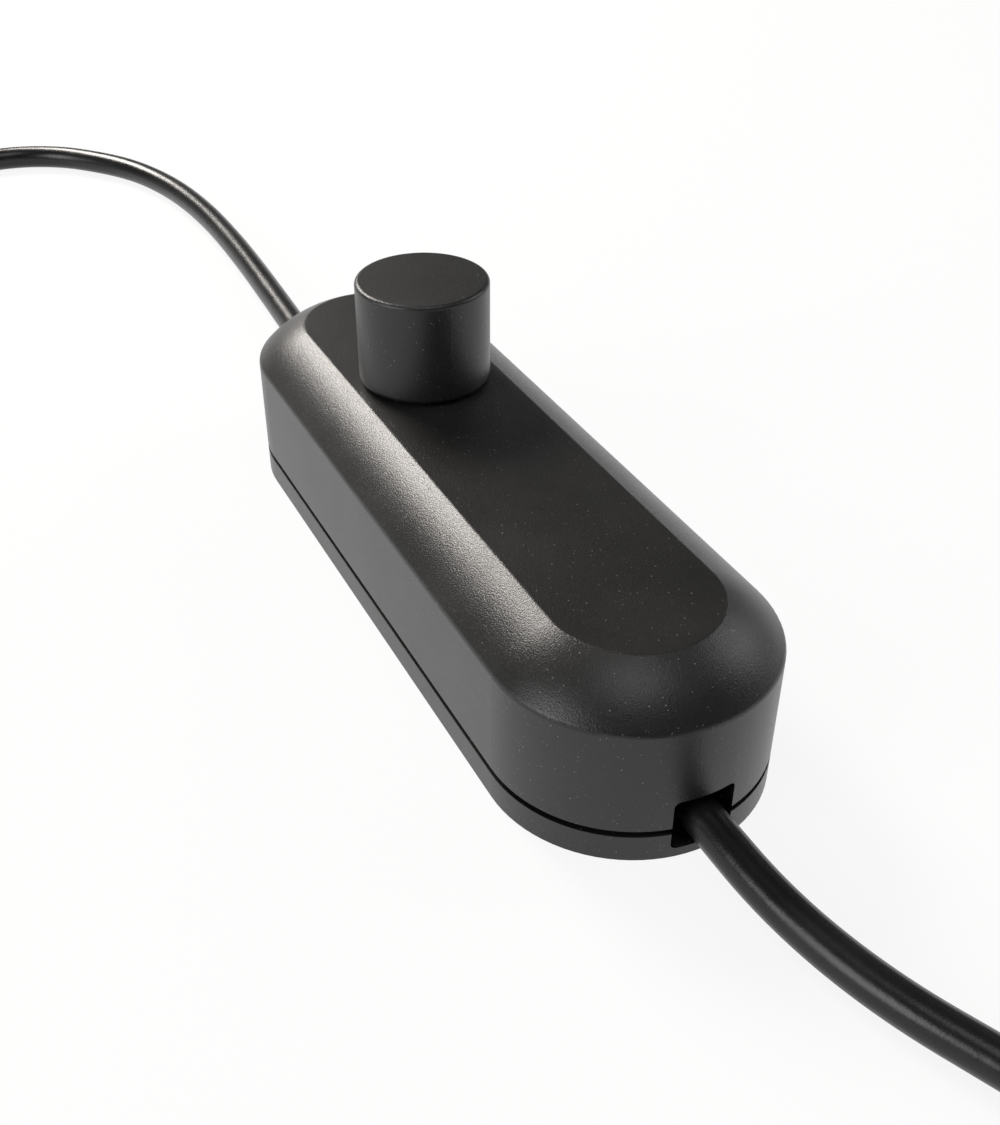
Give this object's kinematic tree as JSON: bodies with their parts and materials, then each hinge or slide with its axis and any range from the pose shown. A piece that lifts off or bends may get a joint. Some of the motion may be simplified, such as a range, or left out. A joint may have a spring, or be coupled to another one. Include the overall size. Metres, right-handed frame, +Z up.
{
  "type": "triac dimmer",
  "caption": "In-line rotary dimmer for a lamp cord: rounded two-shell housing with a turning knob, a mains lead with a flat plug and a bare lamp lead.",
  "frame": {"origin": "centre of the housing's underside, on the surface it lies on", "axes": "+X along the body towards the mains cord, +Z up through the knob's side, +Y across"},
  "size_m": [0.3851, 0.0821, 0.0395],
  "materials": {
    "housing_plastic": "fine moulded grain, matte",
    "knob_plastic": "fine moulded grain, matte",
    "cord_sheath": "smooth, semi-gloss",
    "plug_plastic": "smooth moulded, satin",
    "tie_plastic": "smooth strip",
    "core_brown": "smooth insulation",
    "core_blue": "smooth insulation",
    "steel": "zinc plated",
    "nickel_brass": "nickel plated",
    "aluminium": "extruded, plain",
    "board": "glass-fibre board with green resist",
    "phenolic": "phenolic laminate",
    "carbon": "carbon track",
    "epoxy": "moulded epoxy",
    "ferrite": "sintered ferrite",
    "enamelled_copper": "enamelled wire",
    "capacitor_case": "filled plastic box",
    "resistor_body": "lacquered",
    "glass": "clear",
    "terminal_plastic": "moulded",
    "nylon": "natural"
  },
  "bodies": {
    "housing": {"cover_shell": "housing_plastic", "base_shell": "housing_plastic", "housing_screws": "steel", "pot_bush": "nickel_brass", "pot_washer": "steel", "pot_nut": "nickel_brass", "pot_can": "steel", "pot_wafer": "phenolic", "pot_track": "carbon", "pot_lugs": "nickel_brass", "circuit_board": "board", "board_screws": "steel", "mains_terminal": "terminal_plastic", "mains_cages": "nickel_brass", "mains_terminal_screws": "steel", "lamp_terminal": "terminal_plastic", "lamp_cages": "nickel_brass", "lamp_terminal_screws": "steel", "mains_clamp": "nylon", "lamp_clamp": "nylon", "clamp_screws": "steel", "heat_sink": "aluminium", "triac_tab": "nickel_brass", "triac_body": "epoxy", "triac_legs": "nickel_brass", "triac_screw": "steel", "choke_core": "ferrite", "choke_winding": "enamelled_copper", "filter_capacitor": "capacitor_case", "timing_capacitor": "capacitor_case", "resistors": "resistor_body", "diac": "glass", "fuse_glass": "glass", "fuse_caps": "nickel_brass", "fuse_clips": "nickel_brass", "mains_core_brown": "core_brown", "mains_core_blue": "core_blue", "lamp_core_brown": "core_brown", "lamp_core_blue": "core_blue", "mains_cord": "cord_sheath", "mains_cord_coil": "cord_sheath", "mains_cord_tie": "tie_plastic", "mains_cord_tail": "cord_sheath", "plug_body": "plug_plastic", "plug_pins": "nickel_brass", "plug_sleeves": "plug_plastic", "lamp_cord": "cord_sheath", "lamp_lead_brown": "core_brown", "lamp_lead_blue": "core_blue", "ferrules": "nickel_brass"},
    "knob_and_shaft": {"knob": "knob_plastic", "pot_shaft": "nickel_brass", "shaft_clip": "steel", "pot_rotor": "phenolic", "pot_wiper": "nickel_brass"}
  },
  "joints": [
    {"name": "knob_turn", "type": "hinge", "parent": "housing", "child": "knob_and_shaft", "pos_m": [-0.0192, 0, 0], "axis": [0, 0, -1], "range_deg": [0, 300]}
  ]
}
